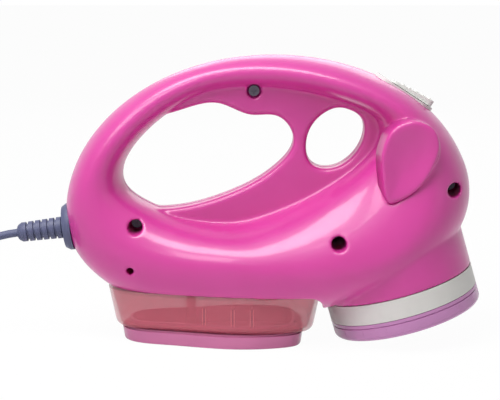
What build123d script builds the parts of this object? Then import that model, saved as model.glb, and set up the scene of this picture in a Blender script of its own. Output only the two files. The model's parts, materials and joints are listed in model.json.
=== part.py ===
from build123d import *
import math
import os

os.makedirs("parts", exist_ok=True)

# Frame: base centre at the origin, +X to the steam head, +Z up, the left side is -Y

# Housing outline from the side: the outer egg and the grip opening
shell_x = 27.0
shell_z = 74.3
shell_front = 115.6
shell_rear = 108.2
shell_top = 83.2
shell_bottom = 62.8
shell_tilt = 5.0
grip_x = 10.2
grip_z = 102.0
grip_front = 83.8
grip_rear = 61.2
grip_top = 37.5
grip_bottom = 35.9
grip_tilt = 11.3
grip_power = 1.6

# Half depths of the ring round the loop
handle_half = 16.5
front_half = 33.0
rear_half = 24.0
belly_half = 41.0
chest_half = 46.0
wall = 2.5
web_half = 9.0
web_round = 3.0

# Steam head: the axis leans forward
head_tilt = 16.0
head_x = 109.5
head_radius = 41.8
cap_height = 9.6
cap_round = 3.0
cap_lift = 0.4
band_height = 11.0
neck_rise = 26.0
fit_gap = 0.3

# Water tank and base
tank_low = 8.0
tank_high = 29.3
tank_rear = 58.0
tank_front = 60.5
tank_half = 36.0
tank_draft = 4.5
tank_wall = 2.0
tank_nose_round = 8.0
base_rear = 49.4
base_front = 49.4
base_half = 33.0
base_top = 7.0
dock_gap = 0.3
floor_thick = 2.5


def egg_level(egg, x, z):
    cx, cz, front, rear, top, bottom, tilt, power = egg
    c = math.cos(math.radians(tilt))
    s = math.sin(math.radians(tilt))
    u = (x - cx) * c + (z - cz) * s
    v = (z - cz) * c - (x - cx) * s
    a = front if u > 0 else rear
    b = top if v > 0 else bottom
    return abs(u / a) ** power + abs(v / b) ** power


def egg_reach(egg, angle):
    low = 0.0
    high = 3 * shell_front
    for _ in range(50):
        mid = (low + high) / 2
        x = grip_x + mid * math.cos(math.radians(angle))
        z = grip_z + mid * math.sin(math.radians(angle))
        if egg_level(egg, x, z) < 1:
            low = mid
        else:
            high = mid
    return low


outer_egg = (shell_x, shell_z, shell_front, shell_rear, shell_top, shell_bottom, shell_tilt, 2.0)
grip_egg = (grip_x, grip_z, grip_front, grip_rear, grip_top, grip_bottom, grip_tilt, grip_power)

# Half depth and widest line (0 at the grip, 1 outside) round the ring, every 30 degrees
half_marks = (
    front_half,
    0.5 * (front_half + handle_half),
    0.84 * handle_half + 0.16 * front_half,
    handle_half,
    handle_half,
    0.67 * handle_half + 0.33 * rear_half,
    rear_half,
    0.82 * rear_half + 0.18 * belly_half,
    0.41 * rear_half + 0.59 * belly_half,
    belly_half,
    0.2 * belly_half + 0.8 * chest_half,
    chest_half,
)
keel_marks = (0.57, 0.5, 0.5, 0.5, 0.5, 0.5, 0.5, 0.5, 0.42, 0.38, 0.5, 0.66)


def smooth_mark(marks, angle):
    step = 360 / len(marks)
    k = int(angle // step)
    t = angle / step - k
    p0, p1, p2, p3 = (marks[(k + i) % len(marks)] for i in (-1, 0, 1, 2))
    return p1 + 0.5 * t * (p2 - p0 + t * (2 * p0 - 5 * p1 + 4 * p2 - p3 + t * (3 * (p1 - p2) + p3 - p0)))


def ring_section(angle, skin):
    c = math.cos(math.radians(angle))
    s = math.sin(math.radians(angle))
    inside = egg_reach(grip_egg, angle)
    outside = egg_reach(outer_egg, angle)
    half = smooth_mark(half_marks, angle) - skin
    widest = inside + smooth_mark(keel_marks, angle) * (outside - inside)
    plane = Plane(origin=(grip_x, 0, grip_z), x_dir=(c, 0, s), z_dir=(s, 0, -c))
    with BuildSketch(plane) as outline:
        with BuildLine():
            EllipticalCenterArc((widest, 0), outside - skin - widest, half, -90, arc_size=180)
            EllipticalCenterArc((widest, 0), widest - inside - skin, half, 90, arc_size=180)
        make_face()
    return outline.sketch


def ring_middle(angle):
    mid = (egg_reach(grip_egg, angle) + egg_reach(outer_egg, angle)) / 2
    return (grip_x + mid * math.cos(math.radians(angle)), grip_z + mid * math.sin(math.radians(angle)))


# Side plane: sketch x is forward, sketch y is up, extruding runs to the left half
side = Plane(origin=(0, 0, 0), x_dir=(1, 0, 0), z_dir=(0, -1, 0))

ring_step = 15
ring_lap = 2
ring_level = Plane(origin=(grip_x, 0, grip_z))


# Upper or lower half of the ring: lofted past the level cut, so that both run on smoothly there
def ring_arch(start, skin, keep):
    steps = range(180 // ring_step + ring_lap, -1 - ring_lap, -1)
    with BuildPart() as arch:
        loft([ring_section(start + k * ring_step, skin) for k in steps])
        split(bisect_by=ring_level, keep=keep)
    return arch.part


def ring_half(skin):
    with BuildPart() as ring:
        add(ring_arch(0, skin, Keep.TOP))
        add(ring_arch(180, skin, Keep.BOTTOM))
        split(bisect_by=side, keep=Keep.TOP)
    return ring.part


# Head plane: origin at the middle of the cap's face, local z runs up into the body
tilt_cos = math.cos(math.radians(head_tilt))
tilt_sin = math.sin(math.radians(head_tilt))
cap_z = cap_lift + cap_round * (1 - tilt_cos) + (head_radius - cap_round) * tilt_sin
head = Plane(origin=(head_x, 0, cap_z), x_dir=(tilt_cos, 0, tilt_sin), z_dir=(-tilt_sin, 0, tilt_cos))
band_low = cap_height + fit_gap
neck_low = band_low + band_height


def head_disc(low, radius, height, bore=0.0, at=(0, 0)):
    with BuildPart() as disc:
        with BuildSketch(head.offset(low)):
            with Locations(at):
                Circle(radius)
                if bore > 0:
                    Circle(bore, mode=Mode.SUBTRACT)
        extrude(amount=height)
    return disc.part


def side_bar(at, radius, near, far):
    with BuildPart() as bar:
        with BuildSketch(side.offset(near)):
            with Locations(at):
                Circle(radius)
        extrude(amount=far - near)
    return bar.part


# Web between handle and belly, with the finger opening and the thumb hole
finger_points = (
    (-36, 123.5), (-16, 128.2), (4, 131.6), (22, 125.2), (36, 124.6), (44.7, 112.5),
    (36, 97.7), (10, 82.2), (-20, 73.9), (-40, 75.5), (-57, 95),
)
thumb_points = (
    (77, 127.4), (83.3, 120), (82.6, 112), (76, 101.7), (64.6, 96),
    (55.2, 98.3), (51.8, 109), (57.7, 123), (69, 129.2),
)


def grown(points, skin):
    moved = []
    for k, (x, z) in enumerate(points):
        x0, z0 = points[k - 1]
        x1, z1 = points[(k + 1) % len(points)]
        run = math.hypot(x1 - x0, z1 - z0)
        moved.append((x - skin * (z1 - z0) / run, z + skin * (x1 - x0) / run))
    return moved


def web_plate(half, skin):
    with BuildPart() as plate:
        with BuildSketch(side):
            with BuildLine():
                Spline(*[ring_middle(angle) for angle in range(0, 360, 30)], periodic=True)
            make_face()
        extrude(amount=half)
        for points in (finger_points, thumb_points):
            with BuildSketch(side.offset(-half)):
                with BuildLine():
                    Spline(*grown(points, skin), periodic=True)
                make_face()
            extrude(amount=4 * half, mode=Mode.SUBTRACT)
    return plate.part


with BuildPart() as web:
    add(web_plate(web_half, 0))
    rims = [wire.edges() for wire in web.faces().sort_by(Axis.Y)[0].inner_wires()]
    fillet(rims, radius=web_round)

# Drop shaped pads beside the chest
drop_big = 15.4
drop_mid = 11.3
drop_small = 3.5
drop_at = (106.8, 110.1)
drop_waist = (102.2, 97.0)
drop_tip = (96.5, 84.5)
drop_seat = 35.5
drop_thick = 3.0
drop_dish = 1.2


def drop_prism(near, far, skin):
    with BuildPart() as prism:
        with BuildSketch(side.offset(near)):
            with Locations(drop_at):
                Circle(drop_big - skin)
            with Locations(drop_waist):
                Circle(drop_mid - skin)
            with Locations(drop_tip):
                Circle(drop_small - skin)
            make_hull()
        extrude(amount=far - near)
    return prism.part


# Left half of the outside, then the left half of the hollow
bay_top = tank_high + dock_gap
bay_front = tank_front + dock_gap
floor_top = bay_top + floor_thick


def neck_half(low, radius, height):
    with BuildPart() as neck:
        add(head_disc(low, radius, height))
        split(bisect_by=side, keep=Keep.TOP)
    return neck.part


# Room for the head under the neck and for the drop caps
def head_room(skin):
    return head_disc(-neck_rise, head_radius + fit_gap + skin, neck_rise + neck_low)


with BuildPart() as outside:
    add(ring_half(0))
    add(web.part)
    add(head_room(0), mode=Mode.SUBTRACT)
    add(drop_prism(drop_seat, 2 * chest_half, -fit_gap), mode=Mode.SUBTRACT)
    add(drop_prism(0, drop_seat, 0))
    add(neck_half(neck_low, head_radius, neck_rise))

with BuildPart() as hollow:
    add(ring_half(wall))
    add(web_plate(web_half - wall, wall))
    add(head_room(wall), mode=Mode.SUBTRACT)
    add(drop_prism(drop_seat - wall, 2 * chest_half, -fit_gap - wall), mode=Mode.SUBTRACT)
    add(drop_prism(0, drop_seat - wall, wall))
    add(neck_half(neck_low - 1, head_radius - wall, neck_rise + 1 - wall))
    with BuildSketch(side):
        with Locations((bay_front + wall, floor_top)):
            Rectangle(4 * shell_rear, 4 * shell_rear, align=(Align.MAX, Align.MAX))
    extrude(amount=2 * chest_half, mode=Mode.SUBTRACT)

# Screws that close the housing: place in the side view, recess, seat and shank
screw_places = ((23.2, 138.7), (-41.4, 65.8), (68.4, 60.0), (130.8, 87.0))
recess_radius = 4.0
seat_depth = 5.0
shank_radius = 1.5
screw_head_radius = 2.9
screw_head_high = 2.2
screw_reach = 9.0
screw_slack = 0.1
boss_skin = 1.6
small_place = (-44.0, 42.5)
small_recess = 2.1
small_seat = 14.0

# Cord gland: seat on the rear of the ring, axis a little downward
gland_x = -78.0
gland_z = 62.4
gland_drop = 7.0
gland_stub = 5.0
gland_back = 5.0
gland_flange = 13.0
gland_flange_thick = 4.4
boot_radius = 6.0
boot_length = 26.0
boot_ribs = 6
cord_radius = 2.25
bore_slack = 0.1

# Switch on the brow: the slope runs from rear to front
switch_rear = (90.0, 147.2)
switch_front = (120.6, 127.3)
bezel_width = 18.0
bezel_sink = 1.0
bezel_rise = 1.2
backing = 3.0
slider_long = 25.0
slider_wide = 13.0
slider_low = 2.6
slider_high = 4.9
slider_ahead = 16.5
slider_gap = 0.3
slider_travel = 7.0
stem_long = 4.0
stem_wide = 3.0
stem_ahead = 5.0

slope_run = switch_front[0] - switch_rear[0]
slope_fall = switch_rear[1] - switch_front[1]
slope_long = math.hypot(slope_run, slope_fall)
slope = Plane(
    origin=((switch_rear[0] + switch_front[0]) / 2, 0, (switch_rear[1] + switch_front[1]) / 2),
    x_dir=(slope_run, 0, -slope_fall),
    z_dir=(slope_fall, 0, slope_run),
)
gland_cos = math.cos(math.radians(gland_drop))
gland_sin = math.sin(math.radians(gland_drop))
gland = Plane(origin=(gland_x, 0, gland_z), x_dir=(0, 1, 0), z_dir=(-gland_cos, 0, -gland_sin))

# Docking and filler places on the tank roof
dock_x = -12.0
spout_radius = 4.5
socket_radius = 8.0
filler_x = 30.0
filler_y = -16.0
filler_radius = 8.0
stopper_head = 10.5
stopper_room = 1.5

# Bosses and the switch seat inside one half, trimmed to the outside
with BuildPart() as bosses:
    for place in screw_places:
        add(side_bar(place, recess_radius + boss_skin, 0, 2 * chest_half))
    add(side_bar(small_place, small_recess + boss_skin, 0, 2 * chest_half))
    with BuildSketch(slope.offset(-bezel_sink - backing)):
        SlotOverall(slope_long + 4, bezel_width + 4)
    extrude(amount=backing)
    with BuildSketch(gland.offset(-gland_back)):
        Circle(gland_flange + 1)
    extrude(amount=gland_back + 10)
    add(outside.part, mode=Mode.INTERSECT)

with BuildPart() as half_shell:
    add(outside.part)
    add(hollow.part, mode=Mode.SUBTRACT)
    add(bosses.part)
    with BuildSketch(side):
        with BuildLine():
            far = 2 * shell_rear
            Polyline((bay_front, bay_top - tank_nose_round), (bay_front, -far), (-far, -far),
                     (-far, bay_top), (bay_front - tank_nose_round, bay_top))
            RadiusArc((bay_front - tank_nose_round, bay_top), (bay_front, bay_top - tank_nose_round),
                      tank_nose_round)
        make_face()
    extrude(amount=2 * chest_half, mode=Mode.SUBTRACT)
    with BuildSketch(slope.offset(-bezel_sink)):
        SlotOverall(slope_long + 2 * fit_gap, bezel_width + 2 * fit_gap)
    extrude(amount=20, mode=Mode.SUBTRACT)
    with BuildSketch(slope.offset(-20)):
        with Locations((stem_ahead - slider_travel / 2, 0)):
            Rectangle(stem_long + slider_travel + 2 * fit_gap, stem_wide + 2 * fit_gap)
    extrude(amount=20, mode=Mode.SUBTRACT)
    with BuildSketch(gland.offset(-15)):
        Circle(gland_stub + bore_slack)
    extrude(amount=30, mode=Mode.SUBTRACT)
    with BuildSketch(gland):
        Circle(gland_flange + fit_gap)
    extrude(amount=20, mode=Mode.SUBTRACT)
    with BuildSketch(Plane.XY.offset(bay_top - 1)):
        with Locations((dock_x, 0)):
            Circle(socket_radius + fit_gap)
    extrude(amount=floor_thick + 2, mode=Mode.SUBTRACT)

# Left half takes the screw heads, right half takes the threads
with BuildPart() as recesses:
    for place in screw_places:
        add(side_bar(place, recess_radius, seat_depth, 2 * chest_half))
        add(side_bar(place, shank_radius + screw_slack, -1, seat_depth))
    add(side_bar(small_place, small_recess, small_seat, 2 * chest_half))
with BuildPart() as housing_left:
    add(half_shell.part)
    add(recesses.part, mode=Mode.SUBTRACT)
    with BuildSketch(Plane.XY.offset(bay_top - 1)):
        with Locations((filler_x, filler_y)):
            Circle(stopper_head + stopper_room)
    extrude(amount=floor_thick + 2, mode=Mode.SUBTRACT)
housing_left.part.label = "housing_left"
export_step(housing_left.part, "parts/housing_left.step")

with BuildPart() as housing_right:
    add(mirror(half_shell.part, about=Plane.XZ))
    for place in screw_places:
        add(side_bar(place, shank_radius + screw_slack, -screw_reach, 0), mode=Mode.SUBTRACT)
housing_right.part.label = "housing_right"
export_step(housing_right.part, "parts/housing_right.step")

# Drop caps: thin dished plates on the pads
def drop_plate():
    with BuildPart() as plate:
        add(drop_prism(drop_seat, drop_seat + drop_thick, 0))
        rim = plate.faces().sort_by(Axis.Y)[0]
        fillet(rim.edges(), radius=0.8)
        ball = (0.5 * drop_big) ** 2 / drop_dish
        with Locations((drop_at[0], -drop_seat - drop_thick - ball + drop_dish, drop_at[1] - 4)):
            Sphere(ball, mode=Mode.SUBTRACT)
    return plate.part


with BuildPart() as drop_cap_left:
    add(drop_plate())
drop_cap_left.part.label = "drop_cap_left"
export_step(drop_cap_left.part, "parts/drop_cap_left.step")
with BuildPart() as drop_cap_right:
    add(mirror(drop_cap_left.part, about=Plane.XZ))
drop_cap_right.part.label = "drop_cap_right"
export_step(drop_cap_right.part, "parts/drop_cap_right.step")

# Housing screws
def side_screw(place):
    with BuildPart() as screw:
        add(side_bar(place, screw_head_radius, seat_depth, seat_depth + screw_head_high))
        add(side_bar(place, shank_radius, 0.5 - screw_reach, seat_depth))
        with BuildSketch(side.offset(seat_depth + screw_head_high - 1)):
            with Locations(place):
                Rectangle(3.2, 0.8)
                Rectangle(0.8, 3.2)
        extrude(amount=2, mode=Mode.SUBTRACT)
    return screw.part


for number, place in enumerate(screw_places, 1):
    with BuildPart() as housing_screw:
        add(side_screw(place))
    housing_screw.part.label = f"housing_screw_{number}"
    export_step(housing_screw.part, f"parts/housing_screw_{number}.step")

# Steam head band with the spigot that carries the cap
spigot_radius = head_radius - wall - fit_gap
spigot_low = 5.0
flange_low = band_low + 1.6
flange_thick = 2.0
boiler_radius = 34.0
flange_bore = 30.0
boiler_screw_ring = (flange_bore + boiler_radius) / 2
boiler_screw_hole = 1.7
with BuildPart() as head_band:
    add(head_disc(band_low, head_radius, band_height, head_radius - wall))
    add(head_disc(spigot_low, spigot_radius, band_low + 2 - spigot_low, spigot_radius - wall))
    add(head_disc(band_low, head_radius - 0.5 * wall, 2, spigot_radius - 0.5 * wall))
    add(head_disc(flange_low, head_radius - 0.5 * wall, flange_thick, flange_bore))
    with BuildSketch(head.offset(flange_low)):
        with PolarLocations(boiler_screw_ring, 3):
            Circle(boiler_screw_hole)
    extrude(amount=flange_thick, mode=Mode.SUBTRACT)
head_band.part.label = "head_band"
export_step(head_band.part, "parts/head_band.step")

# Steam plate under the boiler, inside the flange
plate_radius = flange_bore - fit_gap
plate_thick = 1.6
plate_hole = 1.5
plate_low = flange_low + flange_thick - plate_thick
with BuildPart() as steam_plate:
    add(head_disc(plate_low, plate_radius, plate_thick))
    with BuildSketch(head.offset(plate_low)):
        for ring, holes in ((9, 6), (18, 12), (26, 18)):
            with PolarLocations(ring, holes):
                Circle(plate_hole)
    extrude(amount=plate_thick, mode=Mode.SUBTRACT)
steam_plate.part.label = "steam_plate"
export_step(steam_plate.part, "parts/steam_plate.step")

# Cap pushed over the spigot
cap_face = 2.0
groove_at = 7.5
groove_half = 0.35
groove_deep = 0.6
cap_hole = 2.0
head_side = Plane(origin=head.origin, x_dir=head.x_dir, z_dir=(0, -1, 0))
head_axis = Axis(head.origin, head.z_dir)
with BuildPart() as steam_cap:
    with BuildSketch(head_side):
        with BuildLine():
            Polyline((head_radius, cap_round), (head_radius, groove_at - groove_half),
                     (head_radius - groove_deep, groove_at), (head_radius, groove_at + groove_half),
                     (head_radius, cap_height), (head_radius - wall, cap_height),
                     (head_radius - wall, cap_face), (0, cap_face), (0, 0), (head_radius - cap_round, 0))
            RadiusArc((head_radius - cap_round, 0), (head_radius, cap_round), -cap_round)
        make_face()
    revolve(axis=head_axis)
    with BuildSketch(head.offset(-1)):
        for ring, holes in ((9, 6), (18, 12), (27, 18)):
            with PolarLocations(ring, holes):
                Circle(cap_hole)
    extrude(amount=cap_face + 2, mode=Mode.SUBTRACT)
steam_cap.part.label = "steam_cap"
export_step(steam_cap.part, "parts/steam_cap.step")

# Boiler: cast body, gasket and cover with the water inlet elbow
boiler_low = flange_low + flange_thick
boiler_high = 20.0
gasket_thick = 1.0
cover_thick = 2.5
cover_top = boiler_low + boiler_high + gasket_thick + cover_thick
inlet_at = (-15.0, 20.0)
inlet_rise = 6.0
inlet_run = 13.0
nipple_radius = 2.0
nipple_bore = 1.2
boiler_wall = 5.0
boiler_floor = 3.0
boiler_post = 8.0
boiler_screw_in = 7.0
steam_hole = 1.5
with BuildPart() as boiler_body:
    add(head_disc(boiler_low, boiler_radius, boiler_high))
    add(head_disc(boiler_low + boiler_floor, boiler_radius - boiler_wall, boiler_high), mode=Mode.SUBTRACT)
    add(head_disc(boiler_low + boiler_floor, boiler_post, boiler_high - boiler_floor))
    with BuildSketch(head.offset(boiler_low)):
        with PolarLocations(boiler_screw_ring, 3):
            Circle(shank_radius + screw_slack)
    extrude(amount=boiler_screw_in + 1, mode=Mode.SUBTRACT)
    with BuildSketch(head.offset(boiler_low)):
        with PolarLocations(12, 6):
            Circle(steam_hole)
        with PolarLocations(20, 12):
            Circle(steam_hole)
    extrude(amount=boiler_floor, mode=Mode.SUBTRACT)
boiler_body.part.label = "boiler_body"
export_step(boiler_body.part, "parts/boiler_body.step")
with BuildPart() as boiler_gasket:
    add(head_disc(boiler_low + boiler_high, boiler_radius, gasket_thick, boiler_radius - boiler_wall))
boiler_gasket.part.label = "boiler_gasket"
export_step(boiler_gasket.part, "parts/boiler_gasket.step")
elbow_high = cover_top + inlet_rise
elbow = Plane(origin=head.offset(elbow_high).from_local_coords((inlet_at[0], inlet_at[1], 0)),
              x_dir=(0, 1, 0), z_dir=-head.x_dir)
with BuildPart() as boiler_cover:
    add(head_disc(cover_top - cover_thick, boiler_radius, cover_thick))
    add(head_disc(cover_top - 1, 3.2, inlet_rise + 4.2, 0, inlet_at))
    with BuildSketch(elbow):
        Circle(nipple_radius)
    extrude(amount=inlet_run)
    with BuildSketch(elbow):
        Circle(nipple_bore)
    extrude(amount=inlet_run, mode=Mode.SUBTRACT)
    add(head_disc(cover_top - 5, nipple_bore, inlet_rise + 5, 0, inlet_at), mode=Mode.SUBTRACT)
boiler_cover.part.label = "boiler_cover"
export_step(boiler_cover.part, "parts/boiler_cover.step")

# Thermostat, thermal fuse and heater tabs on the boiler cover
with BuildPart() as thermostat:
    add(head_disc(cover_top, 8, 5, 0, (10, 0)))
    add(head_disc(cover_top + 5, 6, 4, 0, (10, 0)))
thermostat.part.label = "thermostat"
export_step(thermostat.part, "parts/thermostat.step")
with BuildPart() as thermal_fuse:
    with BuildSketch(head.offset(cover_top)):
        with Locations((-4, -18)):
            Rectangle(20, 7)
    extrude(amount=2)
    with BuildSketch(Plane(origin=head.offset(cover_top + 4).from_local_coords((-13, -18, 0)),
                           x_dir=(0, 1, 0), z_dir=head.x_dir)):
        Circle(2.2)
    extrude(amount=18)
thermal_fuse.part.label = "thermal_fuse"
export_step(thermal_fuse.part, "parts/thermal_fuse.step")
for name, across in (("heater_tab_left", -16.0), ("heater_tab_right", 16.0)):
    with BuildPart() as heater_tab:
        add(head_disc(cover_top, 3.5, 4, 0, (20, across)))
        with BuildSketch(head.offset(cover_top + 4)):
            with Locations((20, across)):
                Rectangle(0.8, 6.3)
        extrude(amount=8)
    heater_tab.part.label = name
    export_step(heater_tab.part, f"parts/{name}.step")

# Boiler screws up through the flange of the band
for number in range(3):
    angle = math.radians(120 * number)
    at = (boiler_screw_ring * math.cos(angle), boiler_screw_ring * math.sin(angle))
    with BuildPart() as boiler_screw:
        add(head_disc(flange_low - 1.5, screw_head_radius, 1.5, 0, at))
        add(head_disc(flange_low, shank_radius, flange_thick + boiler_screw_in, 0, at))
    boiler_screw.part.label = f"boiler_screw_{number + 1}"
    export_step(boiler_screw.part, f"parts/boiler_screw_{number + 1}.step")

# Switch: bezel, thumb slider with ribs, switch block behind the slot
slot_at = stem_ahead - slider_travel / 2
slot_long = stem_long + slider_travel + 2 * fit_gap
slot_wide = stem_wide + 2 * fit_gap
with BuildPart() as switch_bezel:
    with BuildSketch(slope.offset(-bezel_sink)):
        SlotOverall(slope_long, bezel_width)
    extrude(amount=bezel_sink + bezel_rise)
    with BuildSketch(slope.offset(-bezel_sink)):
        with Locations((slot_at, 0)):
            Rectangle(slot_long, slot_wide)
    extrude(amount=bezel_sink + bezel_rise, mode=Mode.SUBTRACT)
switch_bezel.part.label = "switch_bezel"
export_step(switch_bezel.part, "parts/switch_bezel.step")

slope_side = Plane(origin=slope.origin, x_dir=slope.x_dir, z_dir=(0, -1, 0))
slider_base = bezel_rise + slider_gap
slider_back = slider_ahead - slider_long
rib_radius = 0.7
with BuildPart() as thumb_slider:
    with BuildSketch(slope_side.offset(-slider_wide / 2)):
        with BuildLine():
            Polyline((slider_back, slider_base), (slider_ahead, slider_base),
                     (slider_ahead, slider_high - 0.6), (slider_ahead - 0.6, slider_high),
                     (slider_back, slider_low), close=True)
        make_face()
    extrude(amount=slider_wide)
    fillet(thumb_slider.edges().filter_by(Axis(slope.origin, slope.z_dir)), radius=2.5)
    with BuildSketch(slope_side.offset(1 - slider_wide / 2)):
        for step in range(5):
            along = slider_ahead - 3 - 4 * step
            level = slider_low + (slider_high - slider_low) * (along - slider_back) / slider_long
            with Locations((along, level)):
                Circle(rib_radius)
    extrude(amount=slider_wide - 2)
    with BuildSketch(slope.offset(-bezel_sink - backing - 3)):
        with Locations((stem_ahead, 0)):
            Rectangle(stem_long, stem_wide)
    extrude(amount=bezel_sink + backing + 3 + slider_base + 0.3)
thumb_slider.part.label = "thumb_slider"
export_step(thumb_slider.part, "parts/thumb_slider.step")

block_long = 22.0
block_wide = 12.0
block_deep = 10.0
with BuildPart() as slide_switch:
    with BuildSketch(slope.offset(-bezel_sink - backing - block_deep)):
        with Locations((slot_at, 0)):
            Rectangle(block_long, block_wide)
    extrude(amount=block_deep)
    with BuildSketch(slope.offset(-bezel_sink - backing - 4)):
        with Locations((slot_at, 0)):
            Rectangle(slot_long, slot_wide)
    extrude(amount=4, mode=Mode.SUBTRACT)
slide_switch.part.label = "slide_switch"
export_step(slide_switch.part, "parts/slide_switch.step")

# Tank plan: pointed rear, blunt front
def tank_plan(rear, front, half, level):
    points = (
        (-rear, 0), (-0.47 * rear, -0.71 * half), (0.4 * front, -half),
        (0.87 * front, -0.83 * half), (front, 0),
    )
    with BuildSketch(Plane.XY.offset(level)) as plan:
        with BuildLine():
            Spline(*points, tangents=((0, -1), (0, 1)))
            Spline(*[(x, -y) for x, y in points], tangents=((0, 1), (0, -1)))
        make_face()
    return plan.sketch


def tank_form(skin, low, high):
    shrink = tank_draft + skin
    with BuildPart() as form:
        loft([tank_plan(tank_rear - shrink, tank_front - shrink, tank_half - 0.5 * tank_draft - skin, low),
              tank_plan(tank_rear - skin, tank_front - skin, tank_half - skin, high)])
        bend = tank_nose_round - skin
        with BuildSketch(side.offset(-2 * tank_half)):
            with BuildLine():
                nose = tank_front - skin
                Polyline((nose, high - bend), (nose + 9, high - bend), (nose + 9, high + 9),
                         (nose - bend, high + 9), (nose - bend, high))
                RadiusArc((nose - bend, high), (nose, high - bend), bend)
            make_face()
        extrude(amount=4 * tank_half, mode=Mode.SUBTRACT)
    return form.part


mouth_end_inset = 2.9
mouth_side_inset = 6.25
mouth_rear = base_rear - mouth_end_inset
mouth_front = base_front - mouth_end_inset
mouth_half = base_half - mouth_side_inset
ledge_thick = 2.0
tank_round = 4.0
rim_high = 3.5
fin_places = (-4.0, 11.6, 22.0)
fin_thick = 1.6
fin_deep = 12.0
fin_low = tank_low + rim_high + 0.5
fin_high = 22.5
spout_top = 37.0
dip_radius = 2.9

# Fins inside both side walls, above the rim of the base
with BuildPart() as tank_fins:
    with BuildSketch(Plane.XY.offset(fin_low)):
        for place in fin_places:
            with Locations((place, tank_half), (place, -tank_half)):
                Rectangle(fin_thick, 2 * fin_deep)
    extrude(amount=fin_high - fin_low)
    add(tank_form(0.5 * tank_wall, fin_low, tank_high - tank_wall), mode=Mode.INTERSECT)

with BuildPart() as tank_shell:
    add(tank_form(0, tank_low, tank_high))
    fillet(tank_shell.faces().sort_by(Axis.Z)[0].edges(), radius=tank_round)
    add(tank_form(tank_wall, tank_low + ledge_thick, tank_high - tank_wall), mode=Mode.SUBTRACT)
    add(tank_fins.part)
    add(tank_plan(mouth_rear, mouth_front, mouth_half, tank_low - 1))
    extrude(amount=ledge_thick + 2, mode=Mode.SUBTRACT)
    with BuildSketch(Plane.XY.offset(tank_high - tank_wall)):
        with Locations((dock_x, 0)):
            Circle(spout_radius)
    extrude(amount=spout_top - tank_high + tank_wall)
    with BuildSketch(Plane.XY.offset(tank_high - 2 * tank_wall)):
        with Locations((dock_x, 0)):
            Circle(dip_radius + bore_slack)
        with Locations((filler_x, filler_y)):
            Circle(filler_radius)
    extrude(amount=spout_top, mode=Mode.SUBTRACT)
tank_shell.part.label = "tank_shell"
export_step(tank_shell.part, "parts/tank_shell.step")

# Base: a pan that closes the tank, with the rim in its mouth
base_draft = 1.0
pan_floor = 2.0
rim_wall = 1.6
with BuildPart() as tank_base:
    loft([tank_plan(base_rear, base_front, base_half, 0),
          tank_plan(base_rear + base_draft, base_front + base_draft, base_half + base_draft, base_top)])
    fillet(tank_base.faces().sort_by(Axis.Z)[0].edges(), radius=1.0)
    rim = fit_gap
    add(tank_plan(mouth_rear - rim, mouth_front - rim, mouth_half - rim, base_top - 1))
    extrude(amount=1 + tank_low - base_top + rim_high)
    inner = rim + rim_wall
    add(tank_plan(mouth_rear - inner, mouth_front - inner, mouth_half - inner, pan_floor))
    extrude(amount=2 * tank_high, mode=Mode.SUBTRACT)
tank_base.part.label = "tank_base"
export_step(tank_base.part, "parts/tank_base.step")

with BuildPart() as tank_gasket:
    add(tank_plan(base_rear, base_front, base_half, base_top))
    extrude(amount=tank_low - base_top)
    add(tank_plan(mouth_rear, mouth_front, mouth_half, base_top))
    extrude(amount=tank_low - base_top, mode=Mode.SUBTRACT)
tank_gasket.part.label = "tank_gasket"
export_step(tank_gasket.part, "parts/tank_gasket.step")


def upright(at, radius, low, high, bore=0.0):
    with BuildPart() as post:
        with BuildSketch(Plane.XY.offset(low)):
            with Locations(at):
                Circle(radius)
                if bore > 0:
                    Circle(bore, mode=Mode.SUBTRACT)
        extrude(amount=high - low)
    return post.part


# Dip tube, strainer and filler stopper
dip_bore = 1.9
dip_low = 6.0
with BuildPart() as dip_tube:
    add(upright((dock_x, 0), dip_radius, dip_low, spout_top - 0.5, dip_bore))
    add(upright((dock_x, 0), spout_radius, tank_high - tank_wall - 2, tank_high - tank_wall, dip_bore))
dip_tube.part.label = "dip_tube"
export_step(dip_tube.part, "parts/dip_tube.step")
with BuildPart() as dip_strainer:
    add(upright((dock_x, 0), spout_radius, pan_floor, dip_low, dip_bore))
    for turn in range(3):
        with BuildSketch(Plane.XY.offset(pan_floor)):
            with Locations((dock_x, 0)):
                Rectangle(12, 1.2, rotation=60 * turn)
        extrude(amount=2, mode=Mode.SUBTRACT)
dip_strainer.part.label = "dip_strainer"
export_step(dip_strainer.part, "parts/dip_strainer.step")
stopper_lift = 8.0
with BuildPart() as tank_stopper:
    stopper_seat = tank_high + fit_gap
    add(upright((filler_x, filler_y), filler_radius - fit_gap, tank_high - tank_wall - 2, stopper_seat))
    add(upright((filler_x, filler_y), stopper_head, stopper_seat, stopper_seat + 2))
    with BuildSketch(Plane.XY.offset(stopper_seat + 2)):
        with Locations((filler_x, filler_y)):
            Rectangle(12, 2.5)
    extrude(amount=3)
tank_stopper.part.label = "tank_stopper"
export_step(tank_stopper.part, "parts/tank_stopper.step")

# Docking socket with its seal ring
socket_high = 48.0
hose_z = 44.0
hose_radius = 3.0
hose_bend = 9.0
pump_y = 20.0
seal_low = 33.6
with BuildPart() as dock_socket:
    add(upright((dock_x, 0), socket_radius, bay_top + fit_gap, socket_high))
    add(upright((dock_x, 0), socket_radius + 3, floor_top, floor_top + 1.8))
    add(upright((dock_x, 0), spout_radius + fit_gap, 0, socket_high - 2), mode=Mode.SUBTRACT)
    add(upright((dock_x, 0), 6.6, seal_low, seal_low + 2), mode=Mode.SUBTRACT)
    with BuildSketch(Plane.XZ.offset(-socket_radius + 1.5)):
        with Locations((dock_x, hose_z)):
            Circle(nipple_radius)
    extrude(amount=-(pump_y - hose_bend - socket_radius + 1.5))
    with BuildSketch(Plane.XZ):
        with Locations((dock_x, hose_z)):
            Circle(nipple_bore)
    extrude(amount=-20, mode=Mode.SUBTRACT)
dock_socket.part.label = "dock_socket"
export_step(dock_socket.part, "parts/dock_socket.step")
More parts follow.
